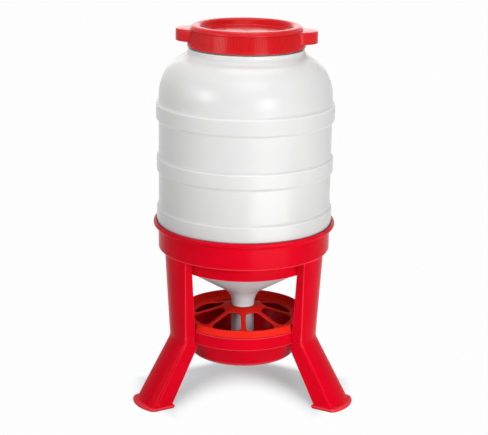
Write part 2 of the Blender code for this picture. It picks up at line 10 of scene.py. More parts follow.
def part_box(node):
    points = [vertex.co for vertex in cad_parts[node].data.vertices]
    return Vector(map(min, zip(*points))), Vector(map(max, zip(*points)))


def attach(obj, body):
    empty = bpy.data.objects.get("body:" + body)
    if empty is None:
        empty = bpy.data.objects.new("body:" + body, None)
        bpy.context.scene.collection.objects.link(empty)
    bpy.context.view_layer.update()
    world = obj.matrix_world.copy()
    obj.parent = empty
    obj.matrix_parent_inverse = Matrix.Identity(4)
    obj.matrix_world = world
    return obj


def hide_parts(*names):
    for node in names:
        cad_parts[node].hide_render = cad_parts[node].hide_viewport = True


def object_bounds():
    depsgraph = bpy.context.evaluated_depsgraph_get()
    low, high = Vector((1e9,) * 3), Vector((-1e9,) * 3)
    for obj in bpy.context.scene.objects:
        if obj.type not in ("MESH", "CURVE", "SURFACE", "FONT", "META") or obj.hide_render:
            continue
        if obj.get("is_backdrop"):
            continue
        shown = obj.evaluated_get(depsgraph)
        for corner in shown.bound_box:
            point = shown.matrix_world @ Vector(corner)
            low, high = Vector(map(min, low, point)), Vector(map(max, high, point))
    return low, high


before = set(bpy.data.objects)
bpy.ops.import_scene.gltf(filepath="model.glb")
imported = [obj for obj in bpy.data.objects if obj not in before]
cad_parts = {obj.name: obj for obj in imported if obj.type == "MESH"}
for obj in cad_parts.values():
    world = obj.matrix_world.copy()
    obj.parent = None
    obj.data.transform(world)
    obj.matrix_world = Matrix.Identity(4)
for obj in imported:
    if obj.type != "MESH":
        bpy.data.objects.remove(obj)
cad_low, cad_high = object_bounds()


# Collar: a ring injection moulded in red polypropylene. The barrel's foot drops into it and rests on the
# ledge inside, its lip is rolled outwards to guide the barrel in, and the skirt under the ledge takes the
# screws of the legs.
FIT = 0.0003                 # gap between pieces that touch
COLLAR_WALL = 0.003
LIP_REACH = 0.0112
LIP_HEIGHT = 0.009
LIP_UNDERCUT = 0.004
LIP_FLARE = 0.014
LIP_FLAT = 0.0076            # how far out the flare meets the lip's flat top
LIP_EDGE = 0.0012
LIP_ROUND = 0.0034
COLLAR_EDGE = 0.0035
LEDGE_WIDTH = 0.030
SKIRT_HEIGHT = 0.0345
SKIRT_EDGE = 0.0012
RING_STEPS = 160
ARC_STEP = math.radians(12)
SOFT_STEPS = 18              # chords so fine that a rounding gets no painted edge highlight
SHARED_SIDE = 0.48           # share of a side that a rounding may take if both its ends are rounded
WHOLE_SIDE = 0.98            # and if its other end is sharp
FLANK = 0.0012               # straight beside a rounding that keeps its painted edge highlight narrow
SHARP_TURN = math.radians(38)
WELD = 1e-6
EDGE_HIGHLIGHT_POINTINESS = (0.5085, 0.5185)    # pointiness at which the painted highlight on an edge begins, and at which it is full
HOLLOW_SHADE_OPENNESS = (0.15, 0.65)      # ambient occlusion of a hollow with the deepest painted shade, and of one with none
DEEPEST_HOLLOW_SHADE = 0.18                  # share of its colour that a hollow keeps under the deepest painted shade
WEAR = (0.92, 1.10)          # least and most of the roughness, as shares of it
GRAIN_DEPTH = 0.0004

collar_low, collar_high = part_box("collar")
barrel_low, barrel_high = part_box("barrel")
lip_radius = collar_high.x
collar_top = collar_high.z
skirt_bottom = collar_low.z
collar_outer = lip_radius - LIP_REACH
collar_inner = collar_outer - COLLAR_WALL
skirt_outer = collar_outer - LEDGE_WIDTH
skirt_inner = skirt_outer - COLLAR_WALL
ledge_bottom = skirt_bottom + SKIRT_HEIGHT
ledge_top = ledge_bottom + COLLAR_WALL


def rounded(corners, closed=False, steps=None, flank=0.0):
    """Points of an outline whose corners are (x, y, fillet radius). Fillets have even chords, or as many as
    the steps given. A flank adds a point to both sides of each fillet, on the straight."""
    points = []
    for index, (x, y, fillet) in enumerate(corners):
        if fillet == 0 or (not closed and index in (0, len(corners) - 1)):
            points.append((x, y))
            continue
        before = corners[index - 1]
        after = corners[(index + 1) % len(corners)]
        into = math.atan2(y - before[1], x - before[0])
        out = math.atan2(after[1] - y, after[0] - x)
        turn = (out - into + math.pi) % math.tau - math.pi
        room = min(
            math.dist((x, y), end[:2]) * (SHARED_SIDE if end[2] else WHOLE_SIDE) for end in (before, after))
        reach = min(fillet * math.tan(abs(turn) / 2), room)
        radius = reach / math.tan(abs(turn) / 2)
        side = math.copysign(math.pi / 2, turn)
        start = (x - reach * math.cos(into), y - reach * math.sin(into))
        centre = (start[0] + radius * math.cos(into + side), start[1] + radius * math.sin(into + side))
        chords = steps or max(2, math.ceil(abs(turn) / ARC_STEP))
        beyond = reach + min(flank, (room - reach) / 2)
        if flank:
            points.append((x - beyond * math.cos(into), y - beyond * math.sin(into)))
        for chord in range(chords + 1):
            angle = into - side + turn * chord / chords
            points.append((centre[0] + radius * math.cos(angle), centre[1] + radius * math.sin(angle)))
        if flank:
            points.append((x + beyond * math.cos(out), y + beyond * math.sin(out)))
    return points


def round_angles(steps):
    """Even angles all the way round."""
    return [math.tau * step / steps for step in range(steps)]


def turn_outline(bm, outline, angles, closed=True):
    """Skin an outline of (radius, height) round the axis, through the given angles."""
    rings = []
    for angle in angles:
        rings.append([bm.verts.new((r * math.cos(angle), r * math.sin(angle), z)) for r, z in outline])
    sides = len(outline) if closed else len(outline) - 1
    for index, ring in enumerate(rings):
        before = rings[index - 1]
        for point in range(sides):
            after = (point + 1) % len(outline)
            bm.faces.new((before[point], ring[point], ring[after], before[after]))


def moulding(name, bm, material, body, slot, *nodes):
    """Turn a bmesh into a piece that rides on a body and stands for CAD nodes."""
    bmesh.ops.remove_doubles(bm, verts=bm.verts, dist=WELD)
    bmesh.ops.dissolve_degenerate(bm, edges=bm.edges, dist=WELD)
    bmesh.ops.recalc_face_normals(bm, faces=bm.faces)
    mesh = bpy.data.meshes.new(name)
    bm.to_mesh(mesh)
    bm.free()
    mesh.shade_smooth()
    mesh.set_sharp_from_angle(angle=SHARP_TURN)
    mesh.materials.append(material)
    piece = bpy.data.objects.new(name, mesh)
    bpy.context.scene.collection.objects.link(piece)
    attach(piece, body)
    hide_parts(*nodes)


def shade(tree, kind, output, inputs=None, **settings):
    """Add a shading node and return one of its outputs. An input is a value, or the output that feeds it."""
    node = tree.nodes.new(f"ShaderNode{kind}")
    for setting, value in settings.items():
        setattr(node, setting, value)
    for socket, value in (inputs or {}).items():
        if isinstance(value, bpy.types.NodeSocket):
            tree.links.new(value, node.inputs[socket])
        else:
            node.inputs[socket].default_value = value
    return node.outputs[output]


def colour_ramp(tree, factor, stops):
    """Colours that blend into each other along a factor, through (position, colour) stops."""
    ramp = tree.nodes.new("ShaderNodeValToRGB")
    tree.links.new(factor, ramp.inputs["Fac"])
    elements = ramp.color_ramp.elements
    for index, (position, colour) in enumerate(stops):
        element = elements[index] if index < len(elements) else elements.new(position)
        element.position = position
        element.color = (*colour, 1.0)
    return ramp.outputs["Color"]


def multiplied(tree, colour, factor):
    """A colour multiplied by another, or by a grey."""
    inputs = {"Factor": 1.0, "A": colour, "B": factor}
    return shade(tree, "Mix", "Result", inputs, data_type="RGBA", blend_type="MULTIPLY")


def moulded_plastic(name, colour, deep, roughness, gloss, stretch=(1.0, 1.0, 1.0), grain=0.05, edge=None,
                    hollows=0.07):
    """Plastic from a mould: faint clouding of its colour, a fine grain, and gloss that handling has worn.
    With an edge colour, its edges get a painted highlight in that colour, and hollows up to a depth get
    painted shade."""
    material = bpy.data.materials.new(name)
    material.use_nodes = True
    tree = material.node_tree
    shader = tree.nodes["Principled BSDF"]
    shader.inputs["Specular IOR Level"].default_value = gloss

    place = shade(tree, "TexCoord", "Object")
    flow = shade(tree, "Mapping", "Vector", {"Vector": place, "Scale": stretch})
    clouding = shade(tree, "TexNoise", "Fac", {"Vector": flow, "Scale": 11.0, "Detail": 4.0})
    tint = colour_ramp(tree, clouding, ((0.30, deep), (0.70, colour)))
    # Painted highlight: sharp edges, found by pointiness, are lightened towards the edge colour.
    if edge:
        pointiness = shade(tree, "NewGeometry", "Pointiness")
        highlight_share = shade(
            tree, "MapRange", "Result", {"Value": pointiness, "From Min": EDGE_HIGHLIGHT_POINTINESS[0], "From Max": EDGE_HIGHLIGHT_POINTINESS[1]})
        highlight_mix = {"Factor": highlight_share, "A": tint, "B": (*edge, 1.0)}
        with_highlight = shade(tree, "Mix", "Result", highlight_mix, data_type="RGBA")
        # Painted shade: hollows are darkened by ambient occlusion up to the given depth.
        openness = shade(tree, "AmbientOcclusion", "AO", {"Distance": hollows}, samples=8)
        hollow_shade_range = {"From Min": HOLLOW_SHADE_OPENNESS[0], "From Max": HOLLOW_SHADE_OPENNESS[1], "To Min": DEEPEST_HOLLOW_SHADE}
        tint = multiplied(tree, with_highlight, shade(tree, "MapRange", "Result", {"Value": openness, **hollow_shade_range}))
    tree.links.new(tint, shader.inputs["Base Color"])

    handling = shade(tree, "TexNoise", "Fac", {"Vector": flow, "Scale": 46.0, "Detail": 5.0})
    wear_range = {"To Min": roughness * WEAR[0], "To Max": roughness * WEAR[1]}
    sheen = shade(tree, "MapRange", "Result", {"Value": handling, **wear_range})
    tree.links.new(sheen, shader.inputs["Roughness"])

    skin = shade(tree, "TexNoise", "Fac", {"Vector": flow, "Scale": 900.0, "Detail": 2.0})
    relief = shade(tree, "Bump", "Normal", {"Height": skin, "Strength": grain, "Distance": GRAIN_DEPTH})
    tree.links.new(relief, shader.inputs["Normal"])
    return material


# Red plastic: a painted highlight along its edges, and painted shade in its hollows.
red_plastic = moulded_plastic(
    "red_polypropylene", (0.74, 0.0010, 0.015), (0.68, 0.0008, 0.013), 0.21, 0.03, edge=(0.86, 0.040, 0.060))

lip_start = (collar_inner + LIP_FLAT, collar_top)
lip_end = (collar_outer, collar_top - LIP_HEIGHT - LIP_UNDERCUT)
lip_roll = rounded([
    (*lip_start, 0),
    (lip_radius, collar_top, LIP_ROUND),
    (lip_radius, collar_top - LIP_HEIGHT, LIP_ROUND),
    (*lip_end, 0),
], steps=SOFT_STEPS)
collar_outline = rounded([
    (*lip_start, LIP_EDGE),
    *[(radius, height, 0) for radius, height in lip_roll[1:-1]],
    (*lip_end, COLLAR_EDGE),
    (collar_outer, ledge_bottom, COLLAR_EDGE),
    (skirt_outer, ledge_bottom, SKIRT_EDGE),
    (skirt_outer, skirt_bottom, SKIRT_EDGE),
    (skirt_inner, skirt_bottom, SKIRT_EDGE),
    (skirt_inner, ledge_top, SKIRT_EDGE),
    (collar_inner, ledge_top, SKIRT_EDGE),
    (collar_inner, collar_top - LIP_FLARE, LIP_FLARE),
], closed=True, flank=FLANK)
collar_mesh = bmesh.new()
turn_outline(collar_mesh, collar_outline, round_angles(RING_STEPS))
moulding("stand_collar", collar_mesh, red_plastic, "stand", "red_plastic", "collar")


# Feed bowl: one deep injection moulding in the same red polypropylene. An upright band carries the grid and
# is screwed to the legs, a cup hangs inside it, and a low cone in the middle spreads the feed to the sides.
BOWL_WALL = 0.0025
BAND_HEIGHT = 0.030
BAND_EDGE = 0.0028
CUP_STEP = 0.0095
CUP_DRAFT = 0.023
CUP_CORNER = 0.020
SPREADER_RADIUS = 0.046
SPREADER_TIP = 0.010
SPREADER_HEIGHT = 0.018
SPREADER_ROUND = 0.006
RIM_STEPS = 6

bowl_low, bowl_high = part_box("feed_bowl")
band_radius = bowl_high.x
band_top = bowl_high.z
band_foot = band_top - BAND_HEIGHT
cup_bottom = bowl_low.z
cup_mouth = band_radius - CUP_STEP


def walled(path, wall):
    """Closed outline of a shell: the path along its outer side, then back a wall further in."""
    inner = []
    for index, (x, y) in enumerate(path):
        sides = []
        if index > 0:
            sides.append((x - path[index - 1][0], y - path[index - 1][1]))
        if index < len(path) - 1:
            sides.append((path[index + 1][0] - x, path[index + 1][1] - y))
        normals = [(dy / math.hypot(dx, dy), -dx / math.hypot(dx, dy)) for dx, dy in sides]
        first, last = normals[0], normals[-1]
        mitre = wall / (1 + first[0] * last[0] + first[1] * last[1])
        inner.append((x + mitre * (first[0] + last[0]), y + mitre * (first[1] + last[1])))
    return path + inner[::-1]


def round_rim(path, wall):
    """The points of a half-round rim that closes a shell at the start of its path."""
    (x, y), (x2, y2) = path[0], path[1]
    length = math.hypot(x2 - x, y2 - y)
    along = ((x - x2) / length, (y - y2) / length)
    across = (-along[1], along[0])
    middle = (x + across[0] * wall / 2, y + across[1] * wall / 2)
    points = []
    for step in range(1, RIM_STEPS):
        angle = math.pi * step / RIM_STEPS
        side = wall / 2 * math.cos(angle)
        out = wall / 2 * math.sin(angle)
        points.append(tuple(middle[i] + across[i] * side + along[i] * out for i in (0, 1)))
    return points


bowl_path = rounded([
    (band_radius, band_top - BOWL_WALL / 2, 0),
    # two points under the band's top edge keep its painted highlight narrow
    (band_radius, band_top - BOWL_WALL / 2 - FLANK, 0),
    (band_radius, band_top - BOWL_WALL / 2 - 2 * FLANK, 0),
    (band_radius, band_foot, BAND_EDGE),
    (cup_mouth, band_foot, BAND_EDGE),
    (cup_mouth - CUP_DRAFT, cup_bottom, CUP_CORNER),
    (SPREADER_RADIUS, cup_bottom, SPREADER_ROUND),
    (SPREADER_TIP, cup_bottom + SPREADER_HEIGHT, SPREADER_ROUND),
    (0.0, cup_bottom + SPREADER_HEIGHT, 0),
], flank=FLANK)
bowl_outline = walled(bowl_path, BOWL_WALL) + round_rim(bowl_path, BOWL_WALL)
bowl_mesh = bmesh.new()
turn_outline(bowl_mesh, bowl_outline, round_angles(RING_STEPS))
moulding("bowl_moulding", bowl_mesh, red_plastic, "stand", "red_plastic", "feed_bowl")


# Legs: three channels of red polypropylene, open to the inside, with a round face. Each is bent out at the
# knee, ends in a foot with a toe flange, and is screwed to the collar's skirt and the bowl's band through
# the two pads that close its channel.
LEG_WALL = 0.003
FACE_CURVE = 0.093           # radius of the round face
UPRIGHT_EDGE = 0.0028        # rounding between face and side walls
FOOT_EDGE = 0.0085
INNER_EDGE_LEAST = 0.0008    # and the least of it inside the channel
LEG_RIM = 0.0012
LEG_INSET = 0.0029
LEG_TOP_HALF_WIDTH = 0.0477
KNEE_DEPTH = 0.028
KNEE_HALF_WIDTH = 0.0378
KNEE_ABOVE_BAND = 0.005
KNEE_BLEND = 0.006           # half the height of the rounded knee
KNEE_STEPS = 4
SHELF_RISE = 0.003           # the side walls step in under the bowl's band
FOOT_DEPTH = 0.0557
TOE_REACH = 0.0095
TOE_SIDE = 0.0075
TOE_END = 0.004
TOE_THICKNESS = 0.007
TOE_ROUND = 0.0024
TOE_ROUND_STEPS = 4
TOE_CORNER = 0.014
TOE_SOLE = ((0.0, 0.5), (0.3, 0.15), (0.7, 0.0))   # up and in along the sole's edge, in toe rounds
TOE_FILLET = (               # height above the toe, and what the toe still adds there
    (0.0002, (0.0015, 0.0012, 0.0008)),
    (0.0012, (0.0003, 0.0002, 0.0002)),
    (0.0025, (0.0, 0.0, 0.0)),
)
FACE_STEPS = 9
EDGE_STEPS = 6
LEG_BEARINGS = {"leg_left": 210.0, "leg_right": 330.0, "leg_rear": 90.0}

leg_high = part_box("leg_rear")[1]
leg_top = leg_high.z
knee = band_foot + KNEE_ABOVE_BAND
shelf = band_foot - FIT
shelf_foot = shelf - SHELF_RISE
foot_crown = leg_high.y - TOE_REACH
foot_half_width = leg_high.x - TOE_SIDE
knee_crown = band_radius + KNEE_DEPTH
leg_top_crown = collar_outer - LEG_INSET


def bent(height, foot_value, knee_value, top_value):
    """A size that runs straight from foot to knee and from knee to top, eased round the knee."""
    below = (knee_value - foot_value) / knee
    above = (top_value - knee_value) / (leg_top - knee)
    off = height - knee
    if abs(off) >= KNEE_BLEND:
        return knee_value + (below if off < 0 else above) * off
    return knee_value + below * off + (above - below) * (off + KNEE_BLEND) ** 2 / (4 * KNEE_BLEND)


def between(stops, height):
    """Straight interpolation through (height, value) stops."""
    for (low, low_value), (high, high_value) in zip(stops, stops[1:]):
        if height <= high:
            break
    return low_value + (high_value - low_value) * (height - low) / (high - low)


def half_width_at(height):
    """Half the width of a leg's face at a height."""
    return bent(height, foot_half_width, KNEE_HALF_WIDTH, LEG_TOP_HALF_WIDTH)


def seated_edge(height, seat_radius):
    """How far in a side wall reaches where it stands against a round wall."""
    return math.sqrt((seat_radius + FIT) ** 2 - (half_width_at(height) - LEG_WALL) ** 2)


inner_edge = [
    (0.0, foot_crown - FOOT_DEPTH),
    (shelf_foot, seated_edge(shelf_foot, cup_mouth)),
    (shelf, seated_edge(shelf, band_radius)),
    (knee, seated_edge(knee, band_radius)),
    (band_top, seated_edge(band_top, band_radius)),
    (skirt_bottom, seated_edge(skirt_bottom, skirt_outer)),
    (leg_top, seated_edge(leg_top, skirt_outer)),
]
edge_rounding = [
    (0.0, FOOT_EDGE),
    (shelf_foot, FOOT_EDGE),
    (band_top, UPRIGHT_EDGE),
    (leg_top, UPRIGHT_EDGE),
]


def face_corners(crown, curve, half_width, fillet, back=False):
    """Corners along an arc across a leg that points along +X; only its two ends are rounded."""
    reach = math.asin(half_width / curve) * (-1 if back else 1)
    corners = []
    for step in range(FACE_STEPS + 1):
        angle = reach * (2 * step / FACE_STEPS - 1)
        ease = fillet if step in (0, FACE_STEPS) else 0
        corners.append((crown - curve + curve * math.cos(angle), curve * math.sin(angle), ease))
    return corners


def leg_section(height, toe=(0.0, 0.0, 0.0), corner=0.0):
    """Outline of a leg that points along +X, cut at a height, with what its toe flange adds there."""
    toe_reach, toe_side, toe_end = toe
    crown = bent(height, foot_crown, knee_crown, leg_top_crown)
    outside = half_width_at(height) + toe_side
    inside = half_width_at(height) - LEG_WALL
    edge = between(inner_edge, height)
    outer_round = max(corner, between(edge_rounding, height))
    inner_round = max(INNER_EDGE_LEAST, between(edge_rounding, height) - LEG_WALL)
    corners = [
        (edge - toe_end, -outside, LEG_RIM),
        *face_corners(crown + toe_reach, FACE_CURVE, outside, outer_round),
        (edge - toe_end, outside, LEG_RIM),
        (edge, inside, LEG_RIM),
        *face_corners(crown - LEG_WALL, FACE_CURVE - LEG_WALL, inside, inner_round, back=True),
        (edge, -inside, LEG_RIM),
    ]
    return [(x, y, height) for x, y in rounded(corners, closed=True, steps=EDGE_STEPS, flank=FLANK)]


def toe_section(height, drawn_in):
    """Outline of a leg's toe flange at a height, drawn in where its edges are rounded."""
    return leg_section(height, (TOE_REACH - drawn_in, TOE_SIDE - drawn_in, TOE_END - drawn_in), TOE_CORNER)


def quarter_round(steps):
    """Points of a quarter round of radius 1, as (below its top, in from its side), from side to top."""
    turns = [math.pi / 2 * step / steps for step in range(steps + 1)]
    return [(1 - math.sin(turn), 1 - math.cos(turn)) for turn in turns]


def bridge(bm, lower, upper):
    """Skin the gap between two closed rings of as many points."""
    for index in range(len(lower)):
        bm.faces.new((lower[index - 1], lower[index], upper[index], upper[index - 1]))


def loft(bm, sections):
    """Skin closed outlines, one above the other, and close both ends."""
    rings = [[bm.verts.new(point) for point in section] for section in sections]
    for lower, upper in zip(rings, rings[1:]):
        bridge(bm, lower, upper)
    ends = [bm.faces.new(rings[0][::-1]), bm.faces.new(rings[-1])]
    bmesh.ops.triangulate(bm, faces=ends)


def pad_section(height, seat_radius):
    """Outline of the plate that closes a leg's channel against a round wall."""
    reach = half_width_at(height) - LEG_WALL / 2
    near = seat_radius + FIT
    far = near + LEG_WALL
    corners = face_corners(near, near, reach, 0, back=True) + face_corners(far, far, reach, 0)
    return [(x, y, height) for x, y, _ in corners]


leg_heights = [shelf_foot, shelf, band_top, skirt_bottom, leg_top - 2 * FLANK, leg_top - FLANK, leg_top]
leg_heights += [knee + KNEE_BLEND * step / KNEE_STEPS for step in range(-KNEE_STEPS, KNEE_STEPS + 2)]
leg_sections = [toe_section(TOE_ROUND * up, TOE_ROUND * drawn_in) for up, drawn_in in TOE_SOLE]
for below, drawn_in in quarter_round(TOE_ROUND_STEPS):
    leg_sections.append(toe_section(TOE_THICKNESS - TOE_ROUND * below, TOE_ROUND * drawn_in))
leg_sections += [leg_section(TOE_THICKNESS + above, toe) for above, toe in TOE_FILLET]
leg_sections += [leg_section(height) for height in sorted(leg_heights)]
pads = (
    (knee, band_top, band_radius),
    (skirt_bottom, leg_top - FIT, skirt_outer),
)
for leg_name, bearing in LEG_BEARINGS.items():
    leg_mesh = bmesh.new()
    loft(leg_mesh, leg_sections)
    for pad_foot, pad_head, seat in pads:
        loft(leg_mesh, [pad_section(pad_foot, seat), pad_section(pad_head, seat)])
    bmesh.ops.rotate(leg_mesh, verts=leg_mesh.verts, matrix=Matrix.Rotation(math.radians(bearing), 3, "Z"))
    moulding(f"{leg_name}_channel", leg_mesh, red_plastic, "stand", "red_plastic", leg_name)


# Screws: zinc-plated steel pan heads with a cross recess. Two at each end of a leg go in from inside the
# collar's skirt and the bowl's band, so none shows from outside.
HEAD_RADIUS = 0.0040
HEAD_HEIGHT = 0.0020
HEAD_ROUND = 0.0013
SCREW_EDGE = 0.0004
SHANK_RADIUS = 0.0019
RECESS_REACH = 0.0021
RECESS_HALF_WIDTH = 0.00045
RECESS_DEPTH = 0.0011
RECESS_FLAT = 1.15           # radius of the flat round the recess, as a share of its reach
SCREW_STEPS = 32

zinc = bpy.data.materials.new("zinc_plate")
zinc.use_nodes = True
zinc_tree = zinc.node_tree
zinc_shader = zinc_tree.nodes["Principled BSDF"]
zinc_shader.inputs["Metallic"].default_value = 1.0
zinc_place = shade(zinc_tree, "TexCoord", "Object")
spangle = shade(zinc_tree, "TexNoise", "Fac", {"Vector": zinc_place, "Scale": 700.0})
zinc_tint = colour_ramp(zinc_tree, spangle, ((0.0, (0.46, 0.47, 0.50)), (1.0, (0.66, 0.66, 0.66))))
zinc_tree.links.new(zinc_tint, zinc_shader.inputs["Base Color"])
zinc_shine = shade(zinc_tree, "MapRange", "Result", {"Value": spangle, "To Min": 0.24, "To Max": 0.42})
zinc_tree.links.new(zinc_shine, zinc_shader.inputs["Roughness"])


def cross_recess(bm, depth):
    """The open cross in the top of a screw's head, as twelve corners round the axis at a depth."""
    reach, half = RECESS_REACH, RECESS_HALF_WIDTH
    corners = []
    for quarter in range(4):
        spin = Matrix.Rotation(math.pi / 2 * quarter, 3, "Z")
        for x, y in ((half, half), (reach, half), (reach, -half)):
            corners.append(bm.verts.new(spin @ Vector((x, -y, depth))))
    return corners


def pan_screw(bm, length):
    """A screw that stands head up on the axis, the underside of its head at height 0."""
    profile = rounded([
        (0.0, -length, 0),
        (SHANK_RADIUS, -length, SCREW_EDGE),
        (SHANK_RADIUS, 0.0, 0),
        (HEAD_RADIUS, 0.0, SCREW_EDGE),
        (HEAD_RADIUS, HEAD_HEIGHT, HEAD_ROUND),
        (RECESS_REACH * RECESS_FLAT, HEAD_HEIGHT, 0),
    ])
    turn_outline(bm, profile, round_angles(SCREW_STEPS), closed=False)
    bmesh.ops.remove_doubles(bm, verts=bm.verts, dist=WELD)
    rim = [edge for edge in bm.edges if edge.is_boundary]
    mouth_cross = cross_recess(bm, HEAD_HEIGHT)
    floor_cross = cross_recess(bm, HEAD_HEIGHT - RECESS_DEPTH)
    bridge(bm, mouth_cross, floor_cross)
    bm.faces.new(floor_cross)
    cross_edges = [bm.edges.get((mouth_cross[i - 1], mouth_cross[i])) for i in range(len(mouth_cross))]
    bmesh.ops.triangle_fill(bm, edges=rim + cross_edges, use_beauty=True)


for node_name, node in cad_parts.items():
    if "_screw_" not in node_name:
        continue
    low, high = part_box(node_name)
    middle = (low + high) / 2
    bearing = math.atan2(middle.y, middle.x)
    outward = Vector((math.cos(bearing), math.sin(bearing), 0.0))
    reaches = [vertex.co.dot(outward) for vertex in node.data.vertices]
    screw_mesh = bmesh.new()
    pan_screw(screw_mesh, max(reaches) - min(reaches) - HEAD_HEIGHT)
    seat = outward * (min(reaches) + HEAD_HEIGHT) + Vector((0.0, 0.0, middle.z))
    stance = (-outward).to_track_quat("Z", "Y").to_matrix().to_4x4()
    bmesh.ops.transform(screw_mesh, verts=screw_mesh.verts, matrix=Matrix.Translation(seat) @ stance)
    moulding(f"{node_name}_steel", screw_mesh, zinc, "stand", "zinc_steel", node_name)


# Grid: one moulding in a more orange red, laid loose on the bowl. Eight spokes run from the hub round the
# barrel's outlet down to a flat ring with a lip that keeps the feed in, and a spigot centres it in the bowl.
GRID_WALL = 0.003
LIP_LEAN = 0.005
LIP_TOP_WIDTH = 0.003
LIP_DRAFT = 0.0025
GRID_LIP_HEIGHT = 0.0155
GRID_LIP_ROUND = 0.0014
GRID_EDGE = 0.0008
GRID_RING_WIDTH = 0.023
GRID_RING_RISE = 0.0022
SPIGOT_DEPTH = 0.010
SPIGOT_INSET = 0.0051
SPIGOT_ROUND = 0.0006
SPIGOT_LEAN = 0.0005
HUB_PLAY = 0.0012
HUB_SLEEVE = 0.014
HUB_ROUND = 0.0014
SPOKES = 8
SPOKE_WIDTH = 0.0115
FIRST_SPOKE = math.radians(270.0)   # one spoke points to the front
WINDOW_INNER = 0.051
WINDOW_MARGIN = 0.0045
WINDOW_FILLET = 0.012
WINDOW_STEPS = 8
WINDOW_ARC = (1.0, 0.6, 0.2, -0.2, -0.6, -1.0)     # corners along a window's outer side, in half widths
HUB_EDGE = 0.043             # where the hub ends and the sectors with the windows begin
EDGE_LOOPS = ((0.0020, 0.0), (0.0011, 0.0003), (0.0004, 0.0009), (0.0, 0.0019), (0.0, GRID_WALL))

grid_low, grid_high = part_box("feed_grid")
hub_top = grid_high.z
lip_foot_radius = grid_high.x
outlet_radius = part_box("flow_regulator")[1].x
hub_bore = outlet_radius + HUB_PLAY
spigot_foot = grid_low.z
grid_seat = spigot_foot + SPIGOT_DEPTH
lip_top = grid_seat + GRID_LIP_HEIGHT
lip_top_radius = lip_foot_radius - LIP_LEAN
lip_inner_radius = lip_top_radius - LIP_TOP_WIDTH
floor_radius = lip_inner_radius - LIP_DRAFT
spigot_outer = lip_foot_radius - SPIGOT_INSET
spoke_end = floor_radius - GRID_RING_WIDTH
window_outer = spoke_end - WINDOW_MARGIN
spoke_foot = grid_seat + GRID_RING_RISE
spoke_slope = (hub_top - spoke_foot) / (spoke_end - hub_bore)
half_pitch = math.pi / SPOKES


def spoke_height(radius):
    """Height of the cone that the tops of hub and spokes lie on."""
    return hub_top - (radius - hub_bore) * spoke_slope


def window_rim(grow):
    """Rim of the window that lies across +X, grown all round by a little."""
    corners = []
    for radius, sides in ((WINDOW_INNER - grow, (-1.0, 1.0)), (window_outer + grow, WINDOW_ARC)):
        edge = half_pitch - math.asin((SPOKE_WIDTH / 2 - grow) / radius)
        for side in sides:
            fillet = WINDOW_FILLET + grow if abs(side) == 1 else 0
            corners.append((radius * math.cos(side * edge), radius * math.sin(side * edge), fillet))
    return rounded(corners, closed=True, steps=WINDOW_STEPS)


inner_left = WINDOW_STEPS // 2
inner_right = inner_left + WINDOW_STEPS + 1
outer_right = inner_right + WINDOW_STEPS + 1
outer_left = outer_right + WINDOW_STEPS + len(WINDOW_ARC) - 1


def sector_partners(rim):
    """For each point of a window's rim, the point that it joins on the edge of the sector round it."""
    reach = [math.hypot(x, y) for x, y in rim]
    angle = [math.atan2(y, x) for x, y in rim]
    partners = []
    for index in range(len(rim)):
        if inner_left <= index <= inner_right:
            radius, turn = HUB_EDGE, half_pitch * angle[index] / angle[inner_right]
        elif outer_right <= index <= outer_left:
            radius, turn = spoke_end, half_pitch * angle[index] / angle[outer_right]
        else:
            share = (reach[index] - reach[inner_right]) / (reach[outer_right] - reach[inner_right])
            radius = HUB_EDGE + share * (spoke_end - HUB_EDGE)
            turn = math.copysign(half_pitch, angle[index])
        partners.append((radius * math.cos(turn), radius * math.sin(turn)))
    return partners


def on_cone(points, drop):
    """Lift flat points onto the spokes' cone, a little below its top."""
    return [(x, y, spoke_height(math.hypot(x, y)) - drop) for x, y in points]


grid_mesh = bmesh.new()
first_rim = window_rim(EDGE_LOOPS[0][0])
partners = sector_partners(first_rim)
sector_loops = [
    on_cone(partners, 0.0),
    *[on_cone(window_rim(grow), drop) for grow, drop in EDGE_LOOPS],
    on_cone(partners, GRID_WALL),
]
window_bearings = [FIRST_SPOKE + (2 * spoke + 1) * half_pitch for spoke in range(SPOKES)]
for bearing in window_bearings:
    spin = Matrix.Rotation(bearing, 3, "Z")
    rings = [[grid_mesh.verts.new(spin @ Vector(point)) for point in loop] for loop in sector_loops]
    for outer, inner in zip(rings, rings[1:]):
        bridge(grid_mesh, outer, inner)


def arc_angles(first, last):
    """Angles of the sectors' edge points from one corner to the next, for all sectors in turn."""
    turns = [math.atan2(y, x) for x, y in partners[first:last]]
    turns = turns if turns[0] < turns[-1] else [-turn for turn in turns]
    return [bearing + turn for bearing in window_bearings for turn in turns]


sleeve_radius = hub_bore + GRID_WALL
hub_outline = rounded([
    (HUB_EDGE, spoke_height(HUB_EDGE), 0),
    (hub_bore, hub_top, HUB_ROUND),
    (hub_bore, hub_top - HUB_SLEEVE, HUB_ROUND),
    (sleeve_radius, hub_top - HUB_SLEEVE, HUB_ROUND),
    (sleeve_radius, spoke_height(sleeve_radius) - GRID_WALL, HUB_ROUND),
    (HUB_EDGE, spoke_height(HUB_EDGE) - GRID_WALL, 0),
])
turn_outline(grid_mesh, hub_outline, arc_angles(inner_left, inner_right), closed=False)
lip_outline = rounded([
    (spoke_end, spoke_foot, 0),
    (floor_radius, spoke_foot, GRID_LIP_ROUND),
    (lip_inner_radius, lip_top, GRID_LIP_ROUND),
    (lip_top_radius, lip_top, GRID_LIP_ROUND),
    (lip_foot_radius, grid_seat, GRID_EDGE),
    (spigot_outer, grid_seat, SPIGOT_ROUND),
    (spigot_outer, spigot_foot, GRID_EDGE),
    (spigot_outer - GRID_WALL, spigot_foot, GRID_EDGE),
    (floor_radius + SPIGOT_LEAN, spoke_foot - GRID_WALL, GRID_LIP_ROUND),
    (spoke_end, spoke_foot - GRID_WALL, 0),
])
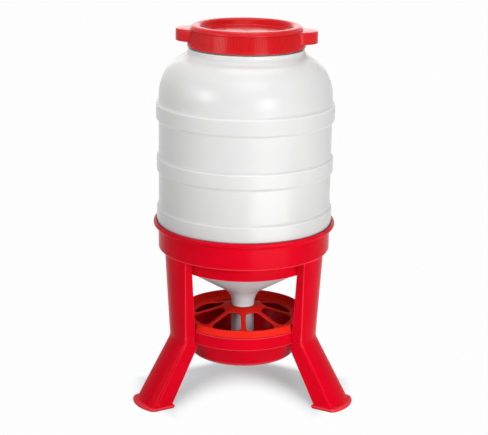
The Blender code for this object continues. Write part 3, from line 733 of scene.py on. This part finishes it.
turn_outline(grid_mesh, lip_outline, arc_angles(outer_right, outer_left), closed=False)
# Grid plastic: a painted highlight along its edges, and painted shade in its hollows.
grid_plastic = moulded_plastic(
    "orange_red_polypropylene", (0.88, 0.022, 0.011), (0.82, 0.018, 0.009), 0.50, 0.01,
    edge=(0.86, 0.024, 0.015), hollows=0.05)
moulding("grid_moulding", grid_mesh, grid_plastic, "grid", "grid_plastic", "feed_grid")


# Hopper barrel: milky polyethylene, blow moulded in one piece from the threaded neck to the outlet. Three
# raised bands stiffen its wall, and its drawn-in foot and funnel hang in the collar. It is only dropped in.
BARREL_WALL = 0.003
UPPER_BAND_RISE = 0.006
MIDDLE_BAND_RISE = 0.0047
LOWER_BAND_RISE = 0.0043
UPPER_BAND = (0.2965, 0.335)     # foot and top above the barrel's base
MIDDLE_BAND = (0.179, 0.2145)
LOWER_BAND_TOP = 0.098
BARREL_BAND_EDGE = 0.0045        # height of a band's sloping edge
BARREL_BAND_ROUND = 0.0055
BARREL_BAND_FLANKS = (0.0048, 0.0060)   # points under its top edge that keep the painted highlight narrow
WALL_HEIGHT = 0.3482
DOME_HEIGHT = 0.0935
DOME_REACH = 0.075
DOME_STEPS = 28
SHOULDER_HEIGHT = 0.0155
SHOULDER_STEP = 0.0105
SHOULDER_ROUND = 0.003
SHOULDER_BLEND = 0.016
SHOULDER_LIFT = 0.006            # how far above the dome's end the blend has its corner
DOME_BLENDED = 3                 # steps of the dome that the blend takes the place of
NECK_HEIGHT = 0.0433
NECK_RADIUS = 0.120
NECK_ROUND = 0.004
FOOT_STEP = 0.0073
FOOT_ROUND = 0.006
DROP_IN_PLAY = 0.001
BASE_CORNER = 0.006
SPIGOT_CORNER = 0.0045
SPIGOT_INSET_FROM_SKIRT = 0.0036
FLARE_RADIUS = 0.044
CONE_SLOPE = math.radians(30.9)
HUB_TO_FLARE = 0.003
REGULATOR_BELOW_HUB = 0.006
REGULATOR_WALL = 0.0025
SLIDE_PLAY = 0.0008
THREAD_PITCH = 0.012
THREAD_TURNS = 1.15
THREAD_DEPTH = 0.0025
THREAD_WIDTH = 0.004
THREAD_ROOT = 0.001              # how deep the ridge's sides start in the neck's wall
THREAD_FADE = 0.04               # share of the ridge over which either end fades out
THREAD_BELOW_MOUTH = 0.008
THREAD_STEPS = 110
BARREL_STEPS = 192
PAINTED_LIGHT_BY_HEIGHT = (                 # painted light and shade by height, from outlet to mouth: cool at the funnel, darker low down, lighter at the dome
    (0.20, (0.89, 1.03, 1.06)),
    (0.29, (0.77, 0.77, 0.77)),
    (0.55, (0.93, 0.93, 0.93)),
    (0.72, (0.96, 0.96, 0.96)),
    (0.81, (0.98, 0.98, 0.98)),
    (0.90, (1.04, 1.04, 1.04)),
)

mouth = barrel_high.z
barrel_radius = barrel_high.x - UPPER_BAND_RISE
barrel_base = mouth - NECK_HEIGHT - SHOULDER_HEIGHT - DOME_HEIGHT - WALL_HEIGHT
lower_radius = barrel_radius + LOWER_BAND_RISE
barrel_foot_radius = lower_radius - FOOT_STEP
spigot_radius = skirt_inner - SPIGOT_INSET_FROM_SKIRT
shoulder_radius = NECK_RADIUS + SHOULDER_STEP
shoulder_top = mouth - NECK_HEIGHT
dome_spring = barrel_base + WALL_HEIGHT
regulator_top = hub_top - REGULATOR_BELOW_HUB
stub_radius = outlet_radius - REGULATOR_WALL - SLIDE_PLAY
cone_foot = hub_top + HUB_TO_FLARE + FLARE_RADIUS * math.tan((math.pi / 2 - CONE_SLOPE) / 2)

dome_middle = barrel_radius - DOME_REACH
dome_start = math.acos((shoulder_radius - dome_middle) / DOME_REACH)
dome = []
for step in range(DOME_STEPS + 1):
    angle = dome_start * (1 - step / DOME_STEPS)
    x = dome_middle + DOME_REACH * math.cos(angle)
    dome.append((x, dome_spring + DOME_HEIGHT * math.sin(angle), 0))


def band_head(outer_radius, top):
    """Corners of the top edge of a band round the barrel."""
    half = BARREL_BAND_EDGE / 2
    return [
        (barrel_radius, top + half, BARREL_BAND_ROUND),
        (outer_radius, top - half, BARREL_BAND_ROUND),
        *[(outer_radius, top - half - flank, 0) for flank in BARREL_BAND_FLANKS],
    ]


def raised_band(rise, foot_and_top):
    """Corners of a raised band round the barrel, from its top edge down to its bottom edge, rounded finely
    so that it gets no painted highlight.
    """
    foot, top = (barrel_base + height for height in foot_and_top)
    half = BARREL_BAND_EDGE / 2
    underside = rounded([
        (barrel_radius + rise, foot + half + BARREL_BAND_FLANKS[-1], 0),
        (barrel_radius + rise, foot + half, BARREL_BAND_ROUND),
        (barrel_radius, foot - half, BARREL_BAND_ROUND),
    ], steps=SOFT_STEPS)
    return [
        *band_head(barrel_radius + rise, top),
        *[(radius, height, 0) for radius, height in underside[:-1]],
        (barrel_radius, foot - half, BARREL_BAND_ROUND),
    ]


barrel_path = rounded([
    (NECK_RADIUS, mouth - BARREL_WALL / 2, 0),
    (NECK_RADIUS, shoulder_top, NECK_ROUND),
    (shoulder_radius, shoulder_top, SHOULDER_ROUND),
    (shoulder_radius, dome[0][1] + SHOULDER_LIFT, SHOULDER_BLEND),
    *dome[DOME_BLENDED:],
    *raised_band(UPPER_BAND_RISE, UPPER_BAND),
    *raised_band(MIDDLE_BAND_RISE, MIDDLE_BAND),
    *band_head(lower_radius, barrel_base + LOWER_BAND_TOP),
    (lower_radius, collar_top + DROP_IN_PLAY, FOOT_ROUND),
    (barrel_foot_radius, collar_top - LIP_FLARE + DROP_IN_PLAY, FOOT_ROUND),
    (barrel_foot_radius, barrel_base, BASE_CORNER),
    (spigot_radius, barrel_base, SPIGOT_CORNER),
    (spigot_radius, skirt_bottom, SPIGOT_CORNER),
    (outlet_radius, cone_foot, FLARE_RADIUS),
    (outlet_radius, regulator_top + FIT, 0),
    (stub_radius, regulator_top + FIT, 0),
    (stub_radius, barrel_low.z, 0),
])


def thread_ridge(bm, crest, root_at, start):
    """A thread ridge that runs up a helix and fades into its wall at both ends."""
    half = THREAD_WIDTH / 2
    rings = []
    for step in range(THREAD_STEPS + 1):
        share = step / THREAD_STEPS
        angle = THREAD_TURNS * math.tau * share
        height = start + THREAD_TURNS * THREAD_PITCH * share
        fade = min(1.0, share / THREAD_FADE, (1 - share) / THREAD_FADE)
        ring = []
        for lift, offset in ((0.0, -half), (fade, -half / 2), (fade, half / 2), (0.0, half)):
            root = root_at(height + offset)
            radius = root + (crest - root) * lift
            place = (radius * math.cos(angle), radius * math.sin(angle), height + offset)
            ring.append(bm.verts.new(place))
        rings.append(ring)
    for lower, upper in zip(rings, rings[1:]):
        bridge(bm, lower, upper)
    bm.faces.new(rings[0])
    bm.faces.new(rings[-1])


thread_start = mouth - THREAD_BELOW_MOUTH - THREAD_TURNS * THREAD_PITCH
barrel_outline = walled(barrel_path, BARREL_WALL) + round_rim(barrel_path, BARREL_WALL)
barrel_mesh = bmesh.new()
turn_outline(barrel_mesh, barrel_outline, round_angles(BARREL_STEPS))
thread_ridge(barrel_mesh, NECK_RADIUS + THREAD_DEPTH, lambda height: NECK_RADIUS - THREAD_ROOT, thread_start)
# Milky plastic: a painted highlight along the bands' top edges, and barely any painted shade in its hollows.
milky_plastic = moulded_plastic(
    "milky_polyethylene", (0.80, 0.80, 0.795), (0.765, 0.768, 0.765), 0.25, 0.36,
    stretch=(1.0, 1.0, 0.35), grain=0.03, edge=(0.90, 0.90, 0.895), hollows=0.003)

# Painted light and shade: the barrel's colour is tinted by height, darker low down and lighter at the dome,
# as light falls and passes through its wall.
milky_tree = milky_plastic.node_tree
milky_colour = milky_tree.nodes["Principled BSDF"].inputs["Base Color"]
barrel_place = shade(milky_tree, "TexCoord", "Object")
barrel_height = shade(milky_tree, "SeparateXYZ", "Z", {"Vector": barrel_place})
barrel_range = {"From Min": barrel_low.z, "From Max": mouth}
climb = shade(milky_tree, "MapRange", "Result", {"Value": barrel_height, **barrel_range})
painted_light_tint = colour_ramp(milky_tree, climb, PAINTED_LIGHT_BY_HEIGHT)
barrel_tint_with_painted_light = multiplied(milky_tree, milky_colour.links[0].from_socket, painted_light_tint)
milky_tree.links.new(barrel_tint_with_painted_light, milky_colour)
moulding("hopper_barrel", barrel_mesh, milky_plastic, "hopper", "milky_plastic", "barrel")


# Flow regulator: a short polyethylene sleeve pushed over the end of the outlet. It is slid up or down by
# hand, and stays by its own grip, to set how much feed runs out over the bowl's cone.
SLEEVE_EDGE = 0.0007

regulator_low, regulator_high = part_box("flow_regulator")


def ring_outline(outer, width, foot, top, edge):
    """Outline of a plain ring with rounded edges."""
    inner = outer - width
    corners = ((outer, top), (outer, foot), (inner, foot), (inner, top))
    return rounded([(radius, height, edge) for radius, height in corners], closed=True)


sleeve_outline = ring_outline(
    outlet_radius, REGULATOR_WALL, regulator_low.z, regulator_high.z, SLEEVE_EDGE)
regulator_mesh = bmesh.new()
turn_outline(regulator_mesh, sleeve_outline, round_angles(RING_STEPS // 2))
moulding("regulator_sleeve", regulator_mesh, milky_plastic, "regulator", "milky_plastic", "flow_regulator")


# Seal: a flat ring of grey foam rubber that lies in the lid and is pressed on the barrel's mouth.
# It is loose in the lid and rises with it.
SEAL_EDGE = 0.0008
SEAL_WIDTH = 0.005

seal_low, seal_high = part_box("lid_seal")
seal_outline = ring_outline(seal_high.x, SEAL_WIDTH, seal_low.z, seal_high.z, SEAL_EDGE)
seal_mesh = bmesh.new()
turn_outline(seal_mesh, seal_outline, round_angles(RING_STEPS))
seal_rubber = moulded_plastic(
    "grey_foam_rubber", (0.085, 0.085, 0.09), (0.06, 0.06, 0.064), 0.82, 0.25, grain=0.4)
moulding("seal_ring", seal_mesh, seal_rubber, "seal", "seal_rubber", "lid_seal")


# Lid: red polypropylene, moulded with a fat ring round a sunk middle, a ribbed skirt with a thread inside,
# and two hollow round ears that give a hand purchase. It screws onto the barrel's neck.
LID_WALL = 0.0025
LID_RING_HEIGHT = 0.010
LID_RING_WIDTH = 0.0205
LID_RING_ROUND = 0.0095
LID_NECK_ROOM = 0.0033
LID_DRAFT = 0.0065
LID_RIM = 0.0009
LID_GROOVE = 0.0016          # depth of the groove between ring and skirt
GROOVE_TOP = 0.0004          # below the ring
GROOVE_FOOT = 0.0015         # below the ring
GROOVE_ROUND = 0.0005
RECESS_SLOPE = 0.006
RECESS_ROUND = 0.004
LID_RECESS = 0.015
LID_STEP_RADIUS = 0.074
LID_DISC_RADIUS = 0.046
LID_STEP = 0.0010
LID_STEP_ROUND = 0.0015
GATE_RADIUS = 0.0035
GATE_RISE = 0.0006
GATE_EDGE = 0.0004
RIBS = 240
RIB_RISE = 0.0008
RIB_SHARE = 0.62
RIB_FOOT = 0.0055            # above the skirt's foot
RIB_HEAD = 0.0012            # below the ring
RIB_SUNK = 0.0004            # how deep a rib's sides start in the skirt
RIB_LEDGE = 0.0008           # height of the ledge that the ribs stand on
RIB_LAP = 0.001              # how far they run on into it
RIB_ROUND = 0.0006
EAR_BEARING = math.radians(-6.5)
EAR_REACH = 0.0265
EAR_RADIUS = 0.041
EAR_ROOT = 0.0055            # how much wider the ear is where it leaves the skirt
EAR_HEIGHT = 0.0267
EAR_ROUND = 0.0030
EAR_ROUND_STEPS = 3
EAR_RIM = 0.0006
EAR_LAP = 0.0004             # from the middle of the skirt's wall to either side of the ear's shell
EAR_STEPS = 48
EAR_ROOT_STEPS = 6
EAR_TURN = math.radians(98)
EAR_SWEEP = math.radians(58)     # turn from the tip at which the sweep out to the root begins

lid_low, lid_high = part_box("lid")
lid_top = lid_high.z
skirt_foot = lid_low.z
ring_foot = lid_top - LID_RING_HEIGHT
skirt_top_radius = NECK_RADIUS + LID_NECK_ROOM + LID_WALL
skirt_foot_radius = skirt_top_radius + LID_DRAFT
ring_inner = skirt_top_radius - LID_RING_WIDTH
recess_floor = lid_top - LID_RECESS
disc_top = recess_floor + 2 * LID_STEP
groove_foot = ring_foot - GROOVE_FOOT
rib_foot = skirt_foot + RIB_FOOT


def skirt_radius(height):
    """Outer radius of the lid's skirt at a height."""
    return skirt_top_radius + LID_DRAFT * (ring_foot - height) / (ring_foot - skirt_foot)


lid_outline = rounded([
    (0.0, disc_top + GATE_RISE, 0),
    (GATE_RADIUS, disc_top + GATE_RISE, GATE_EDGE),
    (GATE_RADIUS, disc_top, GATE_EDGE),
    (LID_DISC_RADIUS, disc_top, LID_STEP_ROUND),
    (LID_DISC_RADIUS + LID_STEP, recess_floor + LID_STEP, LID_STEP_ROUND),
    (LID_STEP_RADIUS, recess_floor + LID_STEP, LID_STEP_ROUND),
    (LID_STEP_RADIUS + LID_STEP, recess_floor, LID_STEP_ROUND),
    (ring_inner - RECESS_SLOPE, recess_floor, RECESS_ROUND),
    (ring_inner, lid_top, LID_RING_ROUND),
    (skirt_top_radius, lid_top, LID_RING_ROUND),
    (skirt_top_radius, ring_foot, 0),
    (skirt_top_radius - LID_GROOVE, ring_foot - GROOVE_TOP, GROOVE_ROUND),
    (skirt_radius(groove_foot) - RIB_RISE, groove_foot, RIB_ROUND),
    (skirt_radius(rib_foot) - RIB_RISE, rib_foot, RIB_ROUND),
    (skirt_radius(rib_foot - RIB_LEDGE), rib_foot - RIB_LEDGE, RIB_ROUND),
    (skirt_foot_radius, skirt_foot, LID_RIM),
    (skirt_foot_radius - LID_WALL, skirt_foot, LID_RIM),
    (skirt_top_radius - LID_WALL, ring_foot, 0),
    (skirt_top_radius - LID_WALL, lid_top - LID_WALL, LID_RING_ROUND - LID_WALL),
    (ring_inner + LID_WALL, lid_top - LID_WALL, LID_RING_ROUND - LID_WALL),
    (ring_inner - RECESS_SLOPE + LID_WALL, recess_floor - LID_WALL, RECESS_ROUND),
    (0.0, recess_floor - LID_WALL, 0),
])
lid_mesh = bmesh.new()
turn_outline(lid_mesh, lid_outline, round_angles(RING_STEPS), closed=False)

rib_half = math.pi / RIBS * RIB_SHARE
rib_sides = (-1.0, -0.5, 0.5, 1.0)
rib_rises = (-RIB_SUNK, RIB_RISE, RIB_RISE, -RIB_SUNK)
rib_ends = (rib_foot - RIB_LAP, ring_foot - RIB_HEAD)
for rib in range(RIBS):
    bearing = math.tau * rib / RIBS
    sections = []
    for height in rib_ends:
        base = skirt_radius(height) - RIB_RISE
        section = []
        for side, rise in zip(rib_sides, rib_rises):
            radius = base + rise
            turn = bearing + rib_half * side
            section.append((radius * math.cos(turn), radius * math.sin(turn), height))
        sections.append(section)
    loft(lid_mesh, sections)


def skirt_middle(height):
    """Radius of the middle of the skirt's wall."""
    return skirt_radius(height) - RIB_RISE - LID_WALL / 2


thread_ridge(lid_mesh, NECK_RADIUS + SLIDE_PLAY, skirt_middle, thread_start - THREAD_PITCH / 2)

ear_middle = skirt_foot_radius + EAR_REACH - EAR_RADIUS


def ear_section(height, inset, depth):
    """Outline of an ear along +X: round at its tip, swept out to its root, closed in the skirt's wall."""
    wall = skirt_middle(height) + depth
    points = []
    for step in range(EAR_STEPS + 1):
        turn = EAR_TURN * (2 * step / EAR_STEPS - 1)
        share = max(0.0, (abs(turn) - EAR_SWEEP) / (EAR_TURN - EAR_SWEEP))
        radius = EAR_RADIUS + EAR_ROOT * share ** 2 - inset
        x, y = ear_middle + radius * math.cos(turn), radius * math.sin(turn)
        short = max(1.0, wall / math.hypot(x, y))
        points.append((x * short, y * short, height))
    first = math.atan2(points[0][1], points[0][0])
    for step in range(1, 2 * EAR_ROOT_STEPS):
        turn = -first * (1 - step / EAR_ROOT_STEPS)
        points.append((wall * math.cos(turn), wall * math.sin(turn), height))
    return points


ear_foot = ring_foot - EAR_HEIGHT
ear_shell = [
    ear_section(ring_foot - LID_WALL, LID_WALL, EAR_LAP),
    ear_section(ear_foot + EAR_RIM, LID_WALL, EAR_LAP),
    ear_section(ear_foot, LID_WALL - EAR_RIM, EAR_LAP),
    ear_section(ear_foot, EAR_RIM, -EAR_LAP),
    ear_section(ear_foot + EAR_RIM, 0.0, -EAR_LAP),
]
for below, drawn_in in quarter_round(EAR_ROUND_STEPS):
    ear_shell.append(ear_section(ring_foot - EAR_ROUND * below, EAR_ROUND * drawn_in, -EAR_LAP))
for bearing in (EAR_BEARING, EAR_BEARING + math.pi):
    spin = Matrix.Rotation(bearing, 3, "Z")
    loft(lid_mesh, [[spin @ Vector(point) for point in section] for section in ear_shell])
# Lid plastic: a faint painted highlight along its edges and ribs, and painted shade in its groove and
# recess.
lid_plastic = moulded_plastic(
    "lid_polypropylene", (0.68, 0.0050, 0.0078), (0.61, 0.0042, 0.0066), 0.20, 0.13,
    edge=(0.74, 0.016, 0.021), hollows=0.022)
moulding("screw_lid_moulding", lid_mesh, lid_plastic, "screw_lid", "lid_plastic", "lid")


# Studio: a pale floor that fades to white round the feeder, and a white surround. Two large soft panels
# light it from above, four weaker ones fill in from the front and the left, and one touches its back. The
# two to the sides of the camera leave their glare on the barrel's dome.
FLOOR_HALF = 9.0
FLOOR_TINT = (0.73, 0.96, 1.0, 1.0)
FLOOR_BOUNCE = (0.62, 0.62, 0.62, 1.0)
SHADE_BACK = 0.10            # behind this line the floor keeps the most of the shadow
SHADE_FRONT = -0.06          # before this line it is white
SHADE_BEND = 7.5             # how the line comes forward towards the legs
SHADE_LEAST = 0.36           # share of plain white where the shadow is kept
LEG_LINE = 0.577             # slope of the lines from the middle to the front legs, as seen from above
REAR_FADE = (0.12, 0.19)     # from here to there behind those lines the shadow fades to white
ROUND_FADE = (0.19, 0.27)    # and so it does from here to there round the middle
SURROUND = 0.05              # light of the surround on the object
WHITE = 0.985                # the surround as the camera sees it
STAND_MIDDLE = Vector((0.0, 0.0, 0.45))
PANELS = {                   # width, height, place and watts
    "front_panel": (2.0, 1.6, (0.30, -1.90, 2.90), 23.0),
    "top_panel": (1.6, 1.6, (0.10, 0.30, 2.95), 28.0),
    "right_panel": (0.95, 0.95, (1.06, -2.13, 0.90), 18.5),
    "left_panel": (1.0, 0.7, (-1.86, -1.30, 1.37), 15.7),
    "side_panel": (0.4, 1.2, (-2.15, -0.30, 1.35), 3.0),
    "low_panel": (1.1, 0.24, (0.62, -1.02, 0.15), 5.2),
    "back_panel": (2.4, 1.6, (0.0, 2.70, 1.50), 11.0),
}

floor_mesh = bmesh.new()
bmesh.ops.create_grid(floor_mesh, x_segments=1, y_segments=1, size=FLOOR_HALF)
floor_data = bpy.data.meshes.new("floor")
floor_mesh.to_mesh(floor_data)
floor_mesh.free()
floor = bpy.data.objects.new("floor", floor_data)
bpy.context.scene.collection.objects.link(floor)
floor.location.z = cad_low.z
floor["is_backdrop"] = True


def reckon(tree, operation, *terms):
    """A math node on values and outputs."""
    return shade(tree, "Math", "Value", dict(enumerate(terms)), operation=operation)


def soft_step(tree, value, start, end, before=0.0, after=1.0):
    """A smooth change from one level to another while a value goes from start to end."""
    inputs = {"Value": value, "From Min": start, "From Max": end, "To Min": before, "To Max": after}
    return shade(tree, "MapRange", "Result", inputs, interpolation_type="SMOOTHSTEP")


def seen_directly(tree):
    """1 for rays from the camera and for what gloss and glass show of the surround, else 0."""
    rays = shade(tree, "LightPath", "Is Camera Ray").node.outputs
    either = reckon(tree, "MAXIMUM", rays["Is Camera Ray"], rays["Is Glossy Ray"])
    return reckon(tree, "MAXIMUM", either, rays["Is Transmission Ray"])


floor_paint = bpy.data.materials.new("pale_floor")
floor_paint.use_nodes = True
floor_tree = floor_paint.node_tree
floor_tree.nodes.remove(floor_tree.nodes["Principled BSDF"])
seen = seen_directly(floor_tree)
matt = shade(floor_tree, "BsdfDiffuse", "BSDF", {"Color": FLOOR_TINT})
dull = shade(floor_tree, "BsdfDiffuse", "BSDF", {"Color": FLOOR_BOUNCE})
paint = shade(floor_tree, "MixShader", "Shader", {"Fac": seen, 1: dull, 2: matt})
white = shade(floor_tree, "Emission", "Emission", {"Strength": WHITE})

floor_place = shade(floor_tree, "TexCoord", "Object")
axes = shade(floor_tree, "SeparateXYZ", "X", {"Vector": floor_place}).node.outputs
aside_squared = reckon(floor_tree, "MULTIPLY", axes["X"], axes["X"])
shade_line = reckon(floor_tree, "MULTIPLY_ADD", aside_squared, SHADE_BEND, axes["Y"])
forward = soft_step(floor_tree, shade_line, SHADE_FRONT, SHADE_BACK, 1.0, SHADE_LEAST)
aside = reckon(floor_tree, "ABSOLUTE", axes["X"])
behind_legs = reckon(floor_tree, "MULTIPLY_ADD", aside, LEG_LINE, axes["Y"])
rearward = soft_step(floor_tree, behind_legs, *REAR_FADE)
distance = shade(floor_tree, "VectorMath", "Value", {0: floor_place}, operation="LENGTH")
outside = reckon(floor_tree, "MAXIMUM", rearward, soft_step(floor_tree, distance, *ROUND_FADE))
fade = reckon(floor_tree, "MAXIMUM", forward, outside)
white_share = reckon(floor_tree, "MULTIPLY", fade, seen)
faded = shade(floor_tree, "MixShader", "Shader", {"Fac": white_share, 1: paint, 2: white})
floor_tree.links.new(faded, floor_tree.nodes["Material Output"].inputs["Surface"])
floor_data.materials.append(floor_paint)

world = bpy.data.worlds.new("white_surround")
world.use_nodes = True
bpy.context.scene.world = world
surround_tree = world.node_tree
surround = surround_tree.nodes["Background"]
surround_seen = seen_directly(surround_tree)
surround_levels = {"To Min": SURROUND, "To Max": WHITE}
level = shade(surround_tree, "MapRange", "Result", {"Value": surround_seen, **surround_levels})
surround_tree.links.new(level, surround.inputs["Strength"])
surround.inputs["Color"].default_value = (1.0, 1.0, 1.0, 1.0)


def soft_panel(name, width, height, place, power):
    """A rectangular soft light that faces the feeder."""
    light = bpy.data.lights.new(name, "AREA")
    light.shape = "RECTANGLE"
    light.size = width
    light.size_y = height
    light.energy = power
    lamp = bpy.data.objects.new(name, light)
    lamp.location = place
    lamp.rotation_mode = "QUATERNION"
    lamp.rotation_quaternion = (STAND_MIDDLE - Vector(place)).to_track_quat("-Z", "Y")
    bpy.context.scene.collection.objects.link(lamp)


for panel_name, (panel_width, panel_height, panel_place, watts) in PANELS.items():
    soft_panel(panel_name, panel_width, panel_height, panel_place, watts)


# Camera: it stands 3 m off and 0.4 m above the lid's height, just left of the feeder's middle line, and
# looks down on it with a long lens, rolled by a touch.
CAMERA_REACH = 3.051
CAMERA_HEIGHT = 1.288
CAMERA_BEARING = math.radians(1.52)
CAMERA_PITCH = math.radians(16.06)
CAMERA_ROLL = math.radians(0.82)
LENS = 101.69
SENSOR = 36.0

ahead = Vector((math.sin(CAMERA_BEARING), math.cos(CAMERA_BEARING), 0.0))
right = Vector((math.cos(CAMERA_BEARING), -math.sin(CAMERA_BEARING), 0.0))
up = Vector((0.0, 0.0, 1.0))
view_up = ahead * math.sin(CAMERA_PITCH) + up * math.cos(CAMERA_PITCH)
view_back = up * math.sin(CAMERA_PITCH) - ahead * math.cos(CAMERA_PITCH)
frame_right = right * math.cos(CAMERA_ROLL) + view_up * math.sin(CAMERA_ROLL)
frame_up = view_up * math.cos(CAMERA_ROLL) - right * math.sin(CAMERA_ROLL)
stance = Matrix((frame_right, frame_up, view_back)).transposed().to_4x4()
camera_data = bpy.data.cameras.new("camera")
camera_data.sensor_fit = "HORIZONTAL"
camera_data.sensor_width = SENSOR
camera_data.lens = LENS
camera = bpy.data.objects.new("camera", camera_data)
camera.matrix_world = Matrix.Translation(up * CAMERA_HEIGHT - ahead * CAMERA_REACH) @ stance
bpy.context.scene.collection.objects.link(camera)
bpy.context.scene.camera = camera
bpy.context.scene.view_settings.view_transform = "Standard"

low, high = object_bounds()
